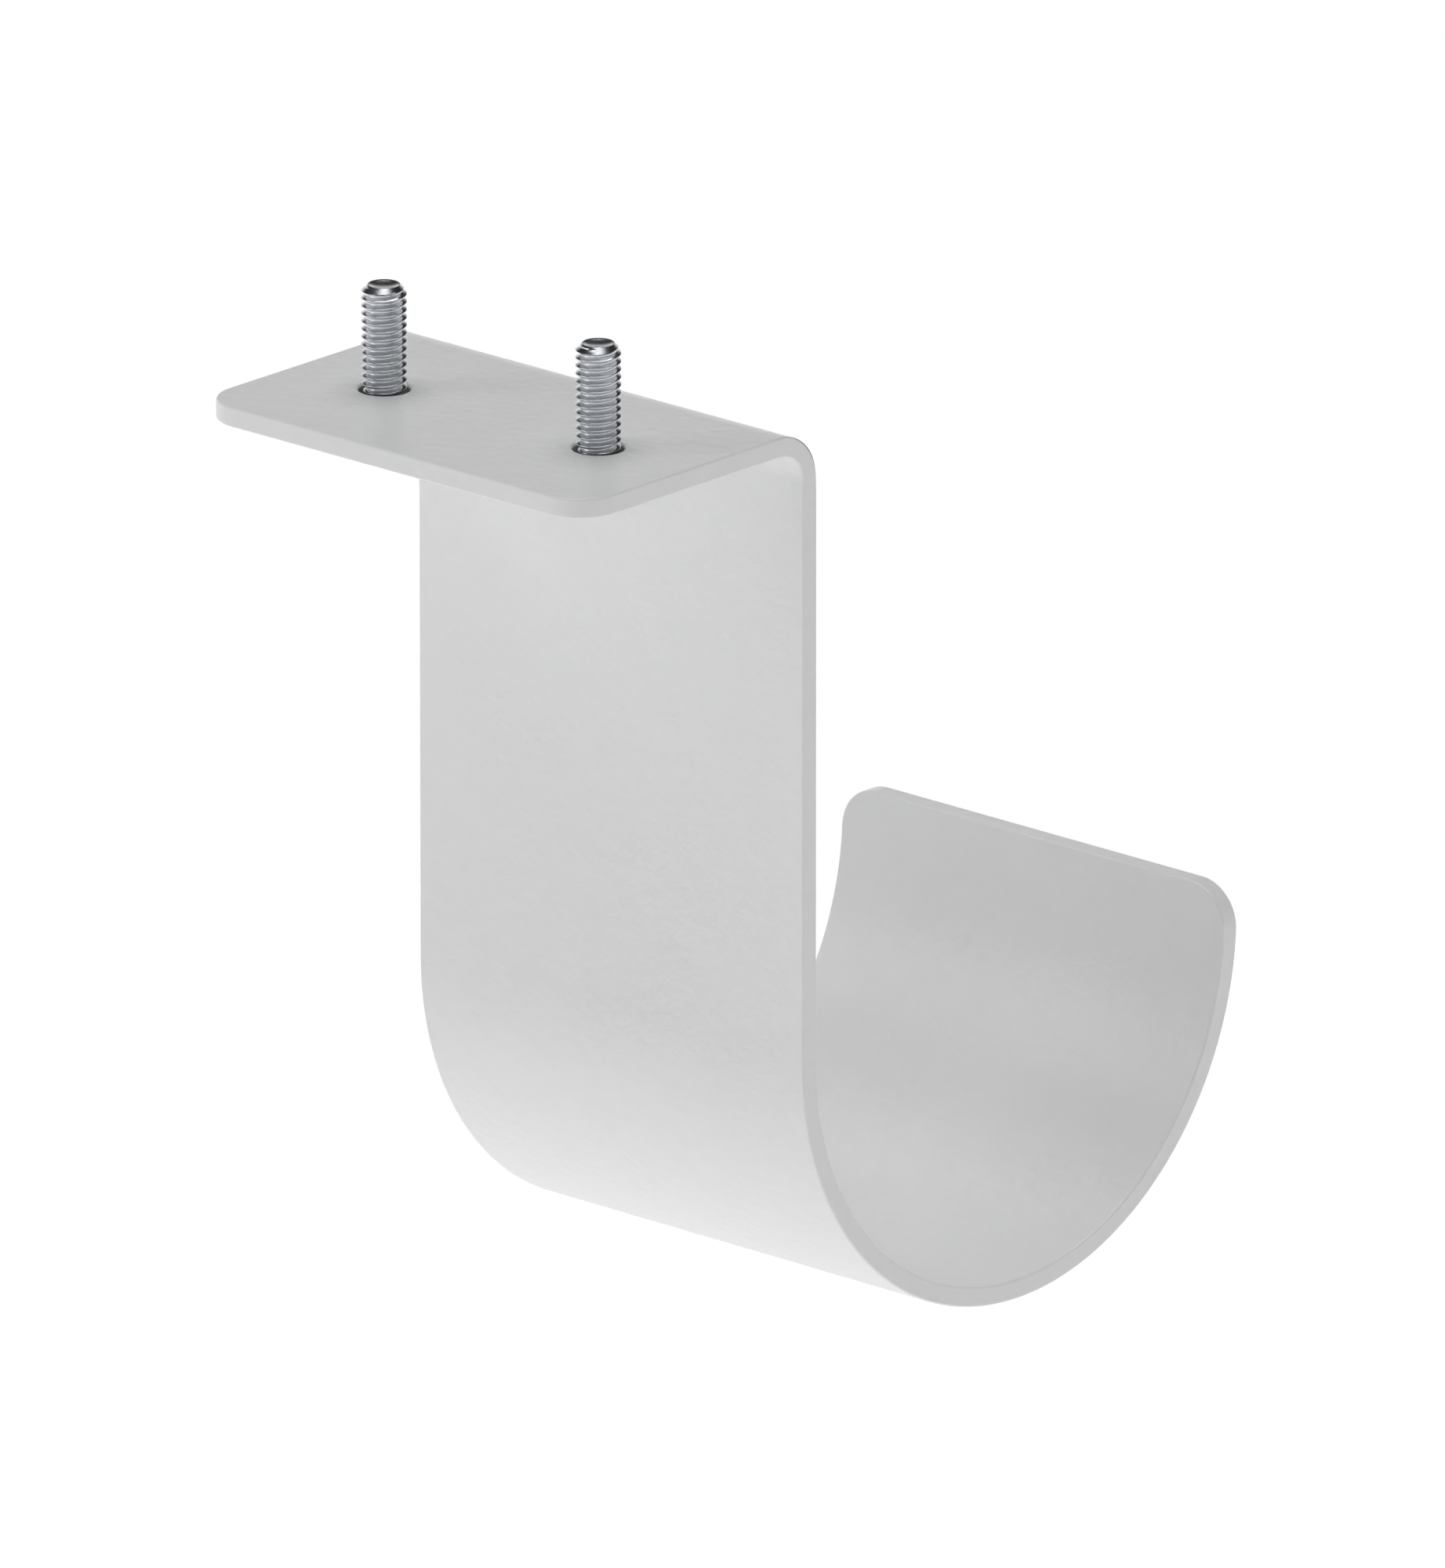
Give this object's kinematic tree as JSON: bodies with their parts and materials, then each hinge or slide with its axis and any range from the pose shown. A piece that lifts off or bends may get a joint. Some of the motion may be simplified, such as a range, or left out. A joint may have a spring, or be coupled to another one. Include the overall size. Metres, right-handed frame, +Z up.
{
  "type": "under-desk headphone hook",
  "caption": "Flat steel strap bent into a screw flange, a straight hanging leg and a half-round cradle, for hanging headphones under a desktop.",
  "frame": {"origin": "in the mounting face, which is the top of the flange, midway between the two screws", "axes": "+X across the strap; +Y from the flange and leg towards the cradle and its lip; +Z up, out of the mounting face and along the screws"},
  "size_m": [0.045, 0.085, 0.0955],
  "materials": {
    "powder_coat": "light grey-white powder coat, satin, with a fine even grain",
    "zinc_plate": "bright zinc plate on steel, turned and rolled",
    "washer_zinc": "zinc plate on stamped steel, slightly duller than the screws"
  },
  "bodies": {
    "root": {"hook_strap": "powder_coat", "mounting_screws": "zinc_plate", "flat_washers": "washer_zinc"}
  },
  "joints": []
}
